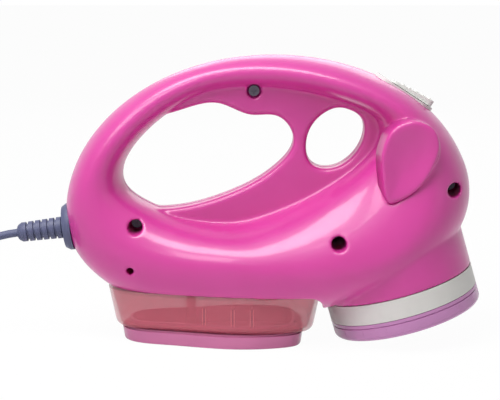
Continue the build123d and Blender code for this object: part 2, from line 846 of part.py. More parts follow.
with BuildPart() as dock_seal:
    add(upright((dock_x, 0), 6.6 - bore_slack, seal_low, seal_low + 2, spout_radius + fit_gap))
dock_seal.part.label = "dock_seal"
export_step(dock_seal.part, "parts/dock_seal.step")

# Pump on its cradle
pump_x0 = 12.0
pump_x1 = 40.0
pump_half = 10.0
pump_core = 5.0
pump_collar = 6.5
with BuildPart() as pump_cradle:
    with BuildSketch(Plane.XY.offset(floor_top)):
        with Locations(((pump_x0 + pump_x1) / 2, pump_y)):
            Rectangle(pump_x1 - pump_x0, 2 * pump_half)
    extrude(amount=hose_z - pump_half - floor_top)
    with BuildSketch(Plane.XY.offset(floor_top)):
        with Locations(((pump_x0 + pump_x1) / 2, pump_y - pump_half - 1)):
            Rectangle(pump_x1 - pump_x0, 2)
    extrude(amount=8)
pump_cradle.part.label = "pump_cradle"
export_step(pump_cradle.part, "parts/pump_cradle.step")
with BuildPart() as pump_coil:
    with BuildSketch(Plane.YZ.offset(pump_x0)):
        with Locations((pump_y, hose_z)):
            RectangleRounded(2 * pump_half, 2 * pump_half, 2)
            Circle(pump_core + bore_slack, mode=Mode.SUBTRACT)
    extrude(amount=pump_x1 - pump_x0)
pump_coil.part.label = "pump_coil"
export_step(pump_coil.part, "parts/pump_coil.step")
pump_bars = (
    (pump_core, pump_x0 - 4, pump_x1 + 4),
    (pump_collar, pump_x0 - 2, pump_x0),
    (pump_collar, pump_x1, pump_x1 + 2),
    (nipple_radius, pump_x0 - 9, pump_x0),
    (nipple_radius, pump_x1, pump_x1 + 9),
)
with BuildPart() as pump_tube:
    for radius, start, stop in pump_bars:
        with BuildSketch(Plane.YZ.offset(start)):
            with Locations((pump_y, hose_z)):
                Circle(radius)
        extrude(amount=stop - start)
pump_tube.part.label = "pump_tube"
export_step(pump_tube.part, "parts/pump_tube.step")


def swept_tube(points, radii, radius, bore=0.0):
    start = Vector(points[0])
    with BuildPart() as tube:
        with BuildLine() as route:
            FilletPolyline(*points, radius=radii)
        with BuildSketch(Plane(origin=start, z_dir=Vector(points[1]) - start)):
            Circle(radius)
            if bore > 0:
                Circle(bore, mode=Mode.SUBTRACT)
        sweep(path=route.wire())
    return tube.part


hose_bore = nipple_radius + bore_slack
with BuildPart() as inlet_hose:
    add(swept_tube([(dock_x, socket_radius + 1, hose_z), (dock_x, pump_y, hose_z),
                    (pump_x0 - 5, pump_y, hose_z)], [hose_bend], hose_radius, hose_bore))
inlet_hose.part.label = "inlet_hose"
export_step(inlet_hose.part, "parts/inlet_hose.step")
hose_end = head.offset(elbow_high).from_local_coords((inlet_at[0] - 8, inlet_at[1], 0))
hose_turn = head.offset(elbow_high).from_local_coords((inlet_at[0] - 19, inlet_at[1], 0))
with BuildPart() as outlet_hose:
    add(swept_tube(((pump_x1 + 5, pump_y, hose_z), (pump_x1 + 14, pump_y, hose_z), hose_turn, hose_end),
                   [20.0, 15.0], hose_radius, hose_bore))
outlet_hose.part.label = "outlet_hose"
export_step(outlet_hose.part, "parts/outlet_hose.step")

# Gland: collar inside, flange outside, ribbed boot round the cord
gland_side = Plane(origin=gland.origin, x_dir=(-gland_sin, 0, gland_cos), z_dir=(0, -1, 0))
gland_axis = Axis(gland.origin, gland.z_dir)
gland_bore = cord_radius + bore_slack
boot_end = gland_flange_thick + boot_length
rib_pitch = (boot_length - 2.5) / boot_ribs
collar_radius = gland_stub + 3
collar_thick = 2.5
profile = [
    (gland_bore, -gland_back - collar_thick), (collar_radius, -gland_back - collar_thick),
    (collar_radius, -gland_back), (gland_stub, -gland_back), (gland_stub, 0), (gland_flange, 0),
    (gland_flange, 0.45 * gland_flange_thick), (gland_flange - 1.5, gland_flange_thick),
]
for rib in range(boot_ribs):
    low = gland_flange_thick + rib * rib_pitch
    crest = boot_radius - 0.12 * rib
    profile += [(crest - 1.1, low), (crest - 1.1, low + 0.3 * rib_pitch),
                (crest, low + 0.36 * rib_pitch), (crest, low + rib_pitch)]
profile += [(boot_radius - 1.6, boot_end - 0.8), (boot_radius - 2.6, boot_end), (gland_bore, boot_end)]
with BuildPart() as cord_gland:
    with BuildSketch(gland_side):
        with BuildLine():
            Polyline(*profile, close=True)
        make_face()
    revolve(axis=gland_axis)
cord_gland.part.label = "cord_gland"
export_step(cord_gland.part, "parts/cord_gland.step")

# Cord inside the gland, as far as the splice to the leads
tail_in = 14.0
with BuildPart() as cord_tail:
    with BuildSketch(gland.offset(-tail_in)):
        Circle(cord_radius)
    extrude(amount=tail_in + boot_end)
cord_tail.part.label = "cord_tail"
export_step(cord_tail.part, "parts/cord_tail.step")

# Coil sizes: turns a diameter apart in four layers
cord_wide = 2 * cord_radius
turn_pitch = cord_wide + 1.6
layer_pitch = cord_wide + 0.6
coil_inside = 15.5
layer_halves = (5, 5, 5, 6)
tie_thick = 1.0
tie_wide = 4.0
tie_bite = 0.1
coil_low = tie_thick + cord_radius + 0.05
coil_top = coil_low + 3 * layer_pitch
coil_out = coil_inside + layer_halves[0] * turn_pitch / 2

# Free run from the boot down to the coil: headings below level and run lengths
exit_x = gland_x - boot_end * gland_cos
exit_z = gland_z - boot_end * gland_sin
run_falls = (gland_drop, 35.0, 60.0, 30.0, 0.0)
run_longs = [14.0, 18.0, 0.0, 18.0, 14.0]
fallen = sum(run * math.sin(math.radians(fall)) for run, fall in zip(run_longs, run_falls))
run_longs[2] = (exit_z - coil_top - fallen) / math.sin(math.radians(run_falls[2]))
route_points = [(exit_x, 0, exit_z)]
for run, fall in zip(run_longs, run_falls):
    x, y, z = route_points[-1]
    route_points.append((x - run * math.cos(math.radians(fall)), 0, z - run * math.sin(math.radians(fall))))
route_radii = []
for k in range(1, len(run_falls)):
    turn = abs(run_falls[k] - run_falls[k - 1])
    shorter = min(run_longs[k - 1], run_longs[k])
    route_radii.append(0.45 * shorter / math.tan(math.radians(turn / 2)))
with BuildPart() as cord_run:
    add(swept_tube(route_points, route_radii, cord_radius))
cord_run.part.label = "cord_run"
export_step(cord_run.part, "parts/cord_run.step")
route_length = sum(run_longs)

# Coil nodes, one each half turn, on the near and far side in turn
coil_x = route_points[-1][0] - cord_wide
coil_y = coil_out
coil_nodes = []
reach = coil_out
level = coil_top
inward = -1
coil_nodes.append((reach, level, "start"))
for layer, halves in enumerate(layer_halves):
    for _ in range(halves):
        reach += inward * turn_pitch / 2
        coil_nodes.append((reach, level, "spiral"))
    inward = -inward
    if layer < len(layer_halves) - 1:
        level -= layer_pitch
        coil_nodes.append((reach, level, "climb"))


def coil_point(number):
    reach, level, _ = coil_nodes[number]
    sign = -1 if number % 2 == 0 else 1
    return (coil_x, coil_y + sign * reach, level)


with BuildPart() as cord_coil:
    with BuildLine() as coil_path:
        first = coil_point(0)
        Line((first[0] + cord_wide, first[1], first[2]), first)
        for number in range(1, len(coil_nodes)):
            begin = coil_point(number - 1)
            finish = coil_point(number)
            sign = -1 if number % 2 == 1 else 1
            if coil_nodes[number][2] == "climb":
                reach = coil_nodes[number][0]
                drop = begin[2] - finish[2]
                bulge = math.sqrt(reach**2 + drop**2 / 4)
                middle = (coil_x + sign * bulge, coil_y, (begin[2] + finish[2]) / 2)
                TangentArc(begin, middle, tangent=(sign, 0, 0))
                TangentArc(middle, finish, tangent=(0, -sign * reach, -drop / 2))
            else:
                span = abs(finish[1] - begin[1]) / 2
                ThreePointArc(begin, (coil_x + sign * span, (begin[1] + finish[1]) / 2, begin[2]), finish)
        last = coil_point(len(coil_nodes) - 1)
        Line(last, (last[0] - cord_wide, last[1], last[2]))
    with BuildSketch(Plane(origin=(first[0] + cord_wide, first[1], first[2]), z_dir=(-1, 0, 0))):
        Circle(cord_radius)
    sweep(path=coil_path.wire())
cord_coil.part.label = "cord_coil"
export_step(cord_coil.part, "parts/cord_coil.step")
coil_length = coil_path.wire().length

# Least gap of the coil to itself, on points two millimetres apart
steps = int(coil_length / 2)
trace = [coil_path.wire().position_at(k / steps) for k in range(steps + 1)]
skip = int(math.pi * cord_wide / 2)
least = min((trace[i] - trace[j]).length for i in range(len(trace)) for j in range(i + skip, len(trace)))
print("coil least gap", least - cord_wide)

# Tie round the far side of the coil
tie_y0 = coil_y + coil_inside - cord_radius + tie_bite
tie_y1 = coil_y + coil_out + cord_radius - tie_bite
tie_z0 = coil_low - cord_radius + tie_bite
tie_z1 = coil_top + cord_radius - tie_bite
with BuildPart() as cord_tie:
    with BuildSketch(Plane.YZ.offset(coil_x - tie_wide / 2)):
        with Locations(((tie_y0 + tie_y1) / 2, (tie_z0 + tie_z1) / 2)):
            RectangleRounded(tie_y1 - tie_y0 + 2 * tie_thick, tie_z1 - tie_z0 + 2 * tie_thick, 1.5)
            Rectangle(tie_y1 - tie_y0, tie_z1 - tie_z0, mode=Mode.SUBTRACT)
    extrude(amount=tie_wide)
cord_tie.part.label = "cord_tie"
export_step(cord_tie.part, "parts/cord_tie.step")

# Lead from the coil to the plug, then the plug and its pins
plug_half_high = 6.3
plug_half_wide = 13.0
plug_long = 33.0
pin_radius = 2.0
pin_long = 19.0
pin_spread = 9.3
lead_run = 9.0
lead_x = last[0] - cord_wide
lead_y = last[1]
lead_rise = plug_half_high + 0.1 - coil_low
lead_points = [(lead_x, lead_y, coil_low), (lead_x - lead_run, lead_y, coil_low),
               (lead_x - 2 * lead_run, lead_y, coil_low + lead_rise),
               (lead_x - 3 * lead_run, lead_y, coil_low + lead_rise)]
lead_turn = math.atan2(lead_rise, lead_run)
lead_radius = 0.45 * lead_run / math.tan(lead_turn / 2)
with BuildPart() as cord_lead:
    add(swept_tube(lead_points, [lead_radius, lead_radius], cord_radius))
cord_lead.part.label = "cord_lead"
export_step(cord_lead.part, "parts/cord_lead.step")
plug_x = lead_x - 3 * lead_run
plug_z = coil_low + lead_rise
plug = Plane(origin=(plug_x, lead_y, plug_z), x_dir=(0, 1, 0), z_dir=(-1, 0, 0))
with BuildPart() as plug_body:
    with BuildSketch(plug):
        Ellipse(2 * cord_radius + 0.5, 2 * cord_radius)
    with BuildSketch(plug.offset(0.45 * plug_long)):
        Ellipse(0.73 * plug_half_wide, 0.9 * plug_half_high)
    with BuildSketch(plug.offset(plug_long)):
        Ellipse(plug_half_wide, plug_half_high)
    loft()
plug_body.part.label = "plug_body"
export_step(plug_body.part, "parts/plug_body.step")
for number, sign in ((1, -1), (2, 1)):
    with BuildPart() as plug_pin:
        with BuildSketch(plug.offset(plug_long)):
            with Locations((sign * pin_spread, 0)):
                Circle(pin_radius)
        extrude(amount=pin_long)
    plug_pin.part.label = f"plug_pin_{number}"
    export_step(plug_pin.part, f"parts/plug_pin_{number}.step")
print("cord length", route_length + coil_length + 3 * lead_run)

# Leads: splice to switch through the handle, switch to thermostat
lead_wire = 1.1
splice = gland.offset(-tail_in).origin
lead_turn_in = gland.offset(-tail_in - 9).origin
block_back = slot_at - block_long / 2
block_level = slope.offset(-bezel_sink - backing - block_deep / 2)
switch_low = block_level.from_local_coords((block_back, 0, 0))
switch_above = block_level.from_local_coords((block_back - 10, 0, 0))
handle_points = [(x, 0, z) for x, z in (ring_middle(angle) for angle in (178, 150, 120, 90, 60, 42))]
with BuildPart() as lead_handle:
    add(swept_tube([splice, lead_turn_in] + handle_points + [switch_above, switch_low], 6.0, lead_wire))
lead_handle.part.label = "lead_handle"
export_step(lead_handle.part, "parts/lead_handle.step")
lead_top = slope.offset(-bezel_sink - backing - block_deep).from_local_coords((slot_at + 6, 0, 0))
lead_top_low = slope.offset(-bezel_sink - backing - block_deep - 9).from_local_coords((slot_at + 6, 0, 0))
lead_end = head.offset(cover_top + 9).from_local_coords((10, 0, 0))
lead_end_high = head.offset(cover_top + 22).from_local_coords((10, 0, 0))
with BuildPart() as lead_boiler:
    add(swept_tube([lead_top, lead_top_low, (lead_end_high.X, 0, (lead_end_high.Z + lead_top_low.Z) / 2 + 5),
                    lead_end_high, lead_end], 6.0, lead_wire))
lead_boiler.part.label = "lead_boiler"
export_step(lead_boiler.part, "parts/lead_boiler.step")
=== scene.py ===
import json
import math

import bmesh
import bpy
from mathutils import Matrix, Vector
from mathutils.bvhtree import BVHTree


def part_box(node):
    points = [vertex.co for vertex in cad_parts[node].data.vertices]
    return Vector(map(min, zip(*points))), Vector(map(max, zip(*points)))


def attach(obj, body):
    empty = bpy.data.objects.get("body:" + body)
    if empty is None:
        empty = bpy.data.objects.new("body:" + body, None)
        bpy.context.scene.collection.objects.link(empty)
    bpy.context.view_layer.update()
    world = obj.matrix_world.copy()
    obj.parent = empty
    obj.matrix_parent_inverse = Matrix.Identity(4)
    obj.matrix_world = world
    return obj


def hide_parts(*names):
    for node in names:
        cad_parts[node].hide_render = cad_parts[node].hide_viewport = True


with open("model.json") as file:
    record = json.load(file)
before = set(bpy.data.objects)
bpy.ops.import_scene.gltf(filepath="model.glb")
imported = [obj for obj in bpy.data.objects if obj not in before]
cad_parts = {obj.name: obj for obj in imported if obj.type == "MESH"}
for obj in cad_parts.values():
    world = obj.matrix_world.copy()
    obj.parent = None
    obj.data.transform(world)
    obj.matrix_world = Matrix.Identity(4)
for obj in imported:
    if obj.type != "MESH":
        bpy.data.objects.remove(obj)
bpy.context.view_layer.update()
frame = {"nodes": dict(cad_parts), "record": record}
nodes = frame["nodes"]
slots = {row["node"]: row["material_slot"] for row in frame["record"]["subparts"]}
scene = bpy.context.scene
mm = 0.001

# Halves of the housing and the side of the middle plane that they lie on
HALVES = (("left", -1), ("right", 1))

# Steam head: the middle of the cap's face and the axis that leans forward
HEAD_TILT = math.radians(16.0)
HEAD_RADIUS = 41.8 * mm
CAP_ROUND = 3.0 * mm
CAP_LIFT = 0.4 * mm
HEAD_X = 109.5 * mm
HEAD_Z = CAP_LIFT + CAP_ROUND * (1 - math.cos(HEAD_TILT)) + (HEAD_RADIUS - CAP_ROUND) * math.sin(HEAD_TILT)
HEAD_FACE = Vector((HEAD_X, 0, HEAD_Z))
HEAD_AXIS = Vector((-math.sin(HEAD_TILT), 0, math.cos(HEAD_TILT)))

# Finishes: size of the plastics' slow colour flow and gloss patches, and how far the gloss swings
FLOW_SIZE = 60 * mm
PATCH_SIZE = 9 * mm
PLASTIC_SWING = 0.12
METAL_SWING = 0.2
# Noise values between which colour and gloss change: most values lie in the middle span
MIDDLE_SPAN = (0.3, 0.7)
WHOLE_SPAN = (0.0, 1.0)

# Refractive indices of the plastics
ABS_IOR = 1.54
SAN_IOR = 1.56
PVC_IOR = 1.5
SILICONE_IOR = 1.41
NYLON_IOR = 1.53


def linear(code):
    """sRGB hex colour as linear RGBA."""
    parts = [int(code[i:i + 2], 16) / 255 for i in (1, 3, 5)]
    return [v / 12.92 if v <= 0.04045 else ((v + 0.055) / 1.055) ** 2.4 for v in parts] + [1.0]


def put(tree, kind, values=None, **settings):
    """Adds a node, sets its settings, and sets or links its inputs."""
    made = tree.nodes.new(kind)
    for name, value in settings.items():
        setattr(made, name, value)
    for socket, value in (values or {}).items():
        if isinstance(value, bpy.types.NodeSocket):
            tree.links.new(value, made.inputs[socket])
        else:
            made.inputs[socket].default_value = value
    return made


def empty_material(name):
    """A new material with nothing in its node tree."""
    made = bpy.data.materials.new(name)
    made.use_nodes = True
    made.node_tree.nodes.clear()
    return made


def finish_surface(tree, noises, span, tones, rough, swing, depth, sockets):
    """Ends a material: colour, gloss and relief from three noises, in one Principled shader."""
    flow, patches, fine = (noise.outputs["Fac"] for noise in noises)
    tone = put(tree, "ShaderNodeValToRGB", {"Fac": flow})
    for stop, place, code in zip(tone.color_ramp.elements, span, tones):
        stop.position = place
        stop.color = linear(code)
    level = put(tree, "ShaderNodeMapRange", {
        "Value": patches, "From Min": span[0], "From Max": span[1],
        "To Min": (1 - swing) * rough, "To Max": (1 + swing) * rough})
    bump = put(tree, "ShaderNodeBump", {"Height": fine, "Strength": 1.0, "Distance": depth})
    shader = put(tree, "ShaderNodeBsdfPrincipled", {
        "Base Color": tone.outputs["Color"], "Roughness": level.outputs["Result"],
        "Normal": bump.outputs["Normal"], **sockets})
    put(tree, "ShaderNodeOutputMaterial", {"Surface": shader.outputs["BSDF"]})


def moulded(name, colour, shade, ior, rough, grain, depth, sockets=None):
    """Moulded plastic: slow colour flow, uneven gloss and a fine tool texture."""
    made = empty_material(name)
    tree = made.node_tree
    where = put(tree, "ShaderNodeTexCoord").outputs["Object"]
    noises = [put(tree, "ShaderNodeTexNoise", {"Vector": where, "Scale": 1 / size, "Detail": detail})
              for size, detail in ((FLOW_SIZE, 3.0), (PATCH_SIZE, 4.0), (grain, 2.0))]
    finish_surface(tree, noises, MIDDLE_SPAN, (shade, colour), rough, PLASTIC_SWING, depth,
                   {"IOR": ior, **(sockets or {})})
    return made


def metal(name, colour, shade, rough, grain, depth, stretch=(1, 1, 1)):
    """Bare or plated metal: drawn or cast grain in its colour, gloss and relief."""
    made = empty_material(name)
    tree = made.node_tree
    where = put(tree, "ShaderNodeTexCoord").outputs["Object"]
    drawn = put(tree, "ShaderNodeMapping", {"Vector": where, "Scale": stretch}).outputs["Vector"]
    fine = put(tree, "ShaderNodeTexNoise", {"Vector": drawn, "Scale": 1 / grain, "Detail": 4.0})
    finish_surface(tree, (fine, fine, fine), WHOLE_SPAN, (shade, colour), rough, METAL_SWING, depth,
                   {"Metallic": 1.0})
    return made


# Gloss ABS from a polished mould: clean reflections on a slight orange peel, and a little light in the wall
pink_abs = moulded(
    "gloss_abs_pink", "#CE3A98", "#C63490", ABS_IOR, rough=0.38, grain=7 * mm, depth=0.02 * mm,
    sockets={"Specular IOR Level": 0.42, "Coat Weight": 0.4, "Coat Roughness": 0.1, "Subsurface Weight": 0.15,
             "Subsurface Radius": (1.0, 0.3, 0.7), "Subsurface Scale": 4 * mm})
lilac_abs = moulded(
    "gloss_abs_lilac", "#C284B8", "#B87AAE", ABS_IOR, rough=0.24, grain=5 * mm, depth=0.015 * mm)
mauve_abs = moulded(
    "gloss_abs_mauve", "#C8709F", "#BE6696", ABS_IOR, rough=0.22, grain=5 * mm, depth=0.015 * mm)
# Satin ABS from a spark eroded mould: soft sheen, grain drawn coarser than real to show
grey_abs = moulded(
    "satin_abs_warm_grey", "#D6D5D1", "#CCCAC5", ABS_IOR, rough=0.42, grain=0.8 * mm, depth=0.012 * mm)
white_abs = moulded(
    "satin_abs_white", "#E2E2DE", "#D8D8D4", ABS_IOR, rough=0.38, grain=0.8 * mm, depth=0.012 * mm)
# Clear SAN tinted rose, with a sharp gloss: what lies in the tank shows through
rose_san = moulded(
    "clear_san_rose", "#E06E82", "#D8667A", SAN_IOR, rough=0.12, grain=8 * mm, depth=0.02 * mm,
    sockets={"Alpha": 0.47})
# The same, paler, as a painted highlight where light gathers in the edges of the tank's fins
fin_highlight_san = moulded(
    "clear_san_rose_painted_highlight", "#F2A9AE", "#EEA0A6", SAN_IOR, rough=0.2, grain=8 * mm, depth=0.01 * mm)
# Soft PVC: dull, with a fine rubbed grain
slate_pvc = moulded(
    "soft_pvc_slate", "#525676", "#4A4E6C", PVC_IOR, rough=0.5, grain=0.9 * mm, depth=0.01 * mm)
red_pvc = moulded(
    "pvc_wire_red", "#A8382C", "#992F25", PVC_IOR, rough=0.45, grain=0.9 * mm, depth=0.01 * mm)
# Silicone rubber: milky or tinted, and matt
milky_silicone = moulded(
    "silicone_milky", "#DAD3CF", "#CEC6C1", SILICONE_IOR, rough=0.45, grain=1.2 * mm, depth=0.01 * mm)
mauve_silicone = moulded(
    "silicone_mauve", "#B4688C", "#A85F82", SILICONE_IOR, rough=0.4, grain=1.2 * mm, depth=0.01 * mm)
# Glass filled nylon: dark and dry, with the rough skin that the fibres leave
dark_nylon = moulded(
    "glass_filled_nylon", "#3A3A40", "#2C2C31", NYLON_IOR, rough=0.55, grain=0.7 * mm, depth=0.02 * mm)
# Woven nylon strap: dull, with a deep grain for its weave
strap_nylon = moulded(
    "nylon_strap_white", "#DAD9D6", "#C4C3C0", NYLON_IOR, rough=0.65, grain=0.6 * mm, depth=0.08 * mm)
# Zinc plated steel: dull grey with a fine grain, the grey darkened and tinted mauve as painted shade and
# painted pink reflection of the screw recesses
zinc_steel_painted_shade = metal(
    "zinc_plated_steel_painted_shade", "#6A6470", "#4A444E", rough=0.42, grain=0.5 * mm, depth=0.01 * mm)
# Nickel plated brass: bright, drawn along the pins
nickel = metal(
    "nickel_plated_brass", "#D8D4C8", "#C4C0B4", rough=0.18, grain=0.4 * mm, depth=0.004 * mm,
    stretch=(0.1, 1, 1))
# Cast aluminium: pale and grainy
cast_alloy = metal(
    "cast_aluminium", "#C4C5C8", "#A2A3A7", rough=0.48, grain=1.5 * mm, depth=0.06 * mm)
# Lacquered copper: dark and light wires side by side along the coil
copper = metal(
    "lacquered_copper", "#C8743E", "#8C4A24", rough=0.3, grain=0.5 * mm, depth=0.05 * mm,
    stretch=(1, 0.1, 0.1))

# Finish of each slot, and of the few pieces that differ from their slot
finishes = {
    "housing_pink": pink_abs, "band_grey": grey_abs, "cap_lilac": lilac_abs, "tank_rose": rose_san,
    "base_lilac": mauve_abs, "switch_grey": white_abs, "cord_slate": slate_pvc, "tie_white": strap_nylon,
    "pin_nickel": nickel, "screw_steel": zinc_steel_painted_shade, "boiler_alloy": cast_alloy, "silicone": milky_silicone,
    "inner_plastic": dark_nylon, "winding": copper, "wire": red_pvc,
}
own_finishes = {"tank_gasket": mauve_silicone, "dip_tube": rose_san, "dip_strainer": rose_san}


def dress(piece, material):
    """Gives a piece one material."""
    piece.data.materials.clear()
    piece.data.materials.append(material)


def shade_smooth(mesh):
    """Shades all faces of a mesh smooth."""
    for face in mesh.polygons:
        face.use_smooth = True


# CAD nodes that stay: their finish, welded and shaded smooth across gentle edges
SMOOTH_ANGLE = math.radians(32)
WELD_GAP = 0.002 * mm
for name, piece in nodes.items():
    dress(piece, own_finishes.get(name, finishes[slots[name]]))
    shade_smooth(piece.data)
    piece.modifiers.new("weld", "WELD").merge_threshold = WELD_GAP
    piece.modifiers.new("crease", "EDGE_SPLIT").split_angle = SMOOTH_ANGLE


def placed(name, data):
    """A new object in the scene."""
    made = bpy.data.objects.new(name, data)
    scene.collection.objects.link(made)
    return made


def new_piece(name, data, body, material):
    """A finished piece with one material that rides a body."""
    piece = placed(name, data)
    dress(piece, material)
    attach(piece, body)
    return piece


def taken_mesh(holder):
    """The plain mesh that a holder's modifiers make, after which the holder is removed."""
    name = holder.name
    shape = holder.evaluated_get(bpy.context.evaluated_depsgraph_get())
    mesh = bpy.data.meshes.new_from_object(shape)
    holder.modifiers.clear()
    bpy.data.objects.remove(holder)
    mesh.name = name
    return mesh


def baked(name, start, steps):
    """A mesh made from a start mesh by modifiers, given as kind and settings."""
    holder = placed(name, start)
    for kind, settings in steps:
        modifier = holder.modifiers.new(kind.lower(), kind)
        for key, value in settings.items():
            setattr(modifier, key, value)
    return taken_mesh(holder)


def merged_copy(node):
    """A copy of a CAD node's mesh with its loose triangles joined."""
    mesh = nodes[node].data.copy()
    work = bmesh.new()
    work.from_mesh(mesh)
    bmesh.ops.remove_doubles(work, verts=work.verts, dist=WELD_GAP)
    work.to_mesh(mesh)
    work.free()
    return mesh


def add_stack(work, rings):
    """Adds a closed form through rings of equal count, with both ends filled."""
    rows = [[work.verts.new(point) for point in ring] for ring in rings]
    count = len(rows[0])
    for lower, upper in zip(rows, rows[1:]):
        for k in range(count):
            work.faces.new((lower[k], lower[(k + 1) % count], upper[(k + 1) % count], upper[k]))
    work.faces.new(rows[0])
    work.faces.new(rows[-1])


def closed_mesh(name, work):
    """The mesh of closed forms, with their faces turned outwards."""
    bmesh.ops.recalc_face_normals(work, faces=work.faces)
    mesh = bpy.data.meshes.new(name)
    work.to_mesh(mesh)
    work.free()
    return mesh


# Drop pads: a leaf shaped outline seen from the side, in mm
DROP_OUTLINE = (
    (105.2, 125.4), (95.6, 120.0), (91.0, 108.6), (91.2, 96.0), (93.2, 84.2), (96.4, 81.3),
    (103.9, 84.4), (111.8, 90.7), (118.0, 100.2), (121.4, 111.0), (119.5, 119.6), (113.6, 124.2),
)
# Reach from the outline to the middle, depths of foot and face, rounding of the rim, dish and lean, in mm
DROP_SIZE = 15.0
DROP_FOOT = 30.0
DROP_FACE = 38.5
DROP_RIM = 1.6
DROP_DISH = 1.9
DROP_LEAN = Vector((-2.4, 0.7))
OUTLINE_STEPS = 6
RIM_STEPS = 5
DISH_STEPS = 10
# The dish ends at this share of the way to the middle, and this power makes its start gentle
DISH_END = 0.86
DISH_POWER = 1.3


def loop_through(points, steps):
    """A smooth closed line through the points."""
    line = []
    for k in range(len(points)):
        p0, p1, p2, p3 = (Vector(points[(k + i) % len(points)]) for i in (-1, 0, 1, 2))
        bend = 2 * p0 - 5 * p1 + 4 * p2 - p3
        twist = 3 * (p1 - p2) + p3 - p0
        for step in range(steps):
            t = step / steps
            line.append(p1 + 0.5 * t * (p2 - p0 + t * (bend + t * twist)))
    return line


def drop_profile():
    """Leaning wall, rounded rim and dished face of a pad, as inset, depth and share of the lean."""
    profile = [(0.0, DROP_FOOT, 1.0), (0.0, DROP_FACE - DROP_RIM, 0.0)]
    for step in range(1, RIM_STEPS + 1):
        turn = math.pi / 2 * step / RIM_STEPS
        profile.append((DROP_RIM * (1 - math.cos(turn)), DROP_FACE - DROP_RIM * (1 - math.sin(turn)), 0.0))
    for step in range(1, DISH_STEPS + 1):
        share = step / DISH_STEPS
        inset = DROP_RIM + share * DISH_END * (DROP_SIZE - DROP_RIM)
        sunk = DROP_DISH * math.sin(share * math.pi / 2) ** DISH_POWER
        profile.append((inset, DROP_FACE - sunk, 0.0))
    return profile


def drop_pad(name, side):
    """The mesh of one pad on its side of the body."""
    outline = loop_through(DROP_OUTLINE, OUTLINE_STEPS)
    middle = sum(outline, Vector((0, 0))) / len(outline)
    rings = []
    for inset, depth, lean in drop_profile():
        ring = [middle + (point - middle) * (1 - inset / DROP_SIZE) + lean * DROP_LEAN for point in outline]
        rings.append([Vector((point.x, side * depth, point.y)) * mm for point in ring])
    work = bmesh.new()
    add_stack(work, rings)
    mesh = closed_mesh(name, work)
    shade_smooth(mesh)
    return mesh


for half, side in HALVES:
    name = f"drop_pad_{half}"
    pad = new_piece(name, drop_pad(name, side), "housing", pink_abs)
    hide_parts(f"drop_cap_{half}")

# Housing halves: the moulded skin with the soft fillets of the mould where ring, web and neck meet
SKIN_STEPS = (
    ("REMESH", {"mode": "VOXEL", "voxel_size": 0.9 * mm, "use_smooth_shade": True}),
    ("SMOOTH", {"factor": 0.5, "iterations": 8}),
    ("DECIMATE", {"ratio": 0.6}),
)
# Lip between tank and head: the neck's lower edge over the cap's face, where the lip ends, and its rise
NECK_LOW = 20.9 * mm
LIP_END = 71.0 * mm
LIP_BLEND = 4.0 * mm
LIP_RISE = 2.2 * mm


def trim_lip(mesh):
    """Lifts the lip between tank and head until it is level with the neck."""
    for vertex in mesh.vertices:
        share = min(1.0, (LIP_END - vertex.co.x) / LIP_BLEND)
        short = NECK_LOW + share * LIP_RISE - (vertex.co - HEAD_FACE).dot(HEAD_AXIS)
        if short > 0 and share > 0:
            vertex.co.z += short / HEAD_AXIS.z


for half, _ in HALVES:
    name = f"housing_skin_{half}"
    skin = baked(name, merged_copy(f"housing_{half}"), SKIN_STEPS)
    trim_lip(skin)
    shade_smooth(skin)
    piece = new_piece(name, skin, "housing", pink_abs)
    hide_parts(f"housing_{half}")


def new_tree(name, inputs):
    """A geometry node tree with these inputs and a mesh as its output."""
    tree = bpy.data.node_groups.new(name, "GeometryNodeTree")
    for label, kind in inputs:
        tree.interface.new_socket(label, in_out="INPUT", socket_type=kind)
    tree.interface.new_socket("Mesh", in_out="OUTPUT", socket_type="NodeSocketGeometry")
    return tree, put(tree, "NodeGroupInput").outputs


def end_tree(tree, geometry, material):
    """Ends a tree: its instances made real, with their material."""
    real = put(tree, "GeometryNodeRealizeInstances", {"Geometry": geometry})
    done = put(tree, "GeometryNodeSetMaterial", {"Geometry": real.outputs["Geometry"], "Material": material})
    put(tree, "NodeGroupOutput", {"Mesh": done.outputs["Geometry"]})


def from_nodes(name, tree, values):
    """The plain mesh that a node tree makes with these inputs."""
    holder = placed(name, bpy.data.meshes.new(name))
    modifier = holder.modifiers.new("make", "NODES")
    modifier.node_group = tree
    sockets = {item.name: item.identifier for item in tree.interface.items_tree if item.in_out == "INPUT"}
    for key, value in values.items():
        modifier[sockets[key]] = value
    return taken_mesh(holder)


# Grip ticks round the cap's skirt: bars in a ring, half a step off the front
TICKS = 18
TICK_PROUD = 0.08 * mm
TICK_HIGH = 4.9 * mm
# Depth, width and height of a bar
TICK_SIZE = Vector((0.5, 0.7, 3.8)) * mm


def tick_ring_tree(material):
    """Bars that face outwards, on a circle that is then turned and put in its place."""
    tree, given = new_tree("tick_ring", (
        ("Count", "NodeSocketInt"), ("Radius", "NodeSocketFloat"), ("Bar Size", "NodeSocketVector"),
        ("Half Step", "NodeSocketVector"), ("Place", "NodeSocketVector"), ("Turn", "NodeSocketVector"),
    ))
    ring = put(tree, "GeometryNodeMeshCircle", {"Vertices": given["Count"], "Radius": given["Radius"]})
    spot = put(tree, "GeometryNodeInputPosition")
    facing = put(tree, "FunctionNodeAlignRotationToVector", {"Vector": spot.outputs["Position"]}, axis="X")
    bar = put(tree, "GeometryNodeMeshCube", {"Size": given["Bar Size"]})
    bars = put(tree, "GeometryNodeInstanceOnPoints", {
        "Points": ring.outputs["Mesh"], "Instance": bar.outputs["Mesh"],
        "Rotation": facing.outputs["Rotation"]})
    spun = put(tree, "GeometryNodeTransform", {
        "Geometry": bars.outputs["Instances"], "Rotation": given["Half Step"]})
    moved = put(tree, "GeometryNodeTransform", {
        "Geometry": spun.outputs["Geometry"], "Translation": given["Place"], "Rotation": given["Turn"]})
    end_tree(tree, moved.outputs["Geometry"], material)
    return tree


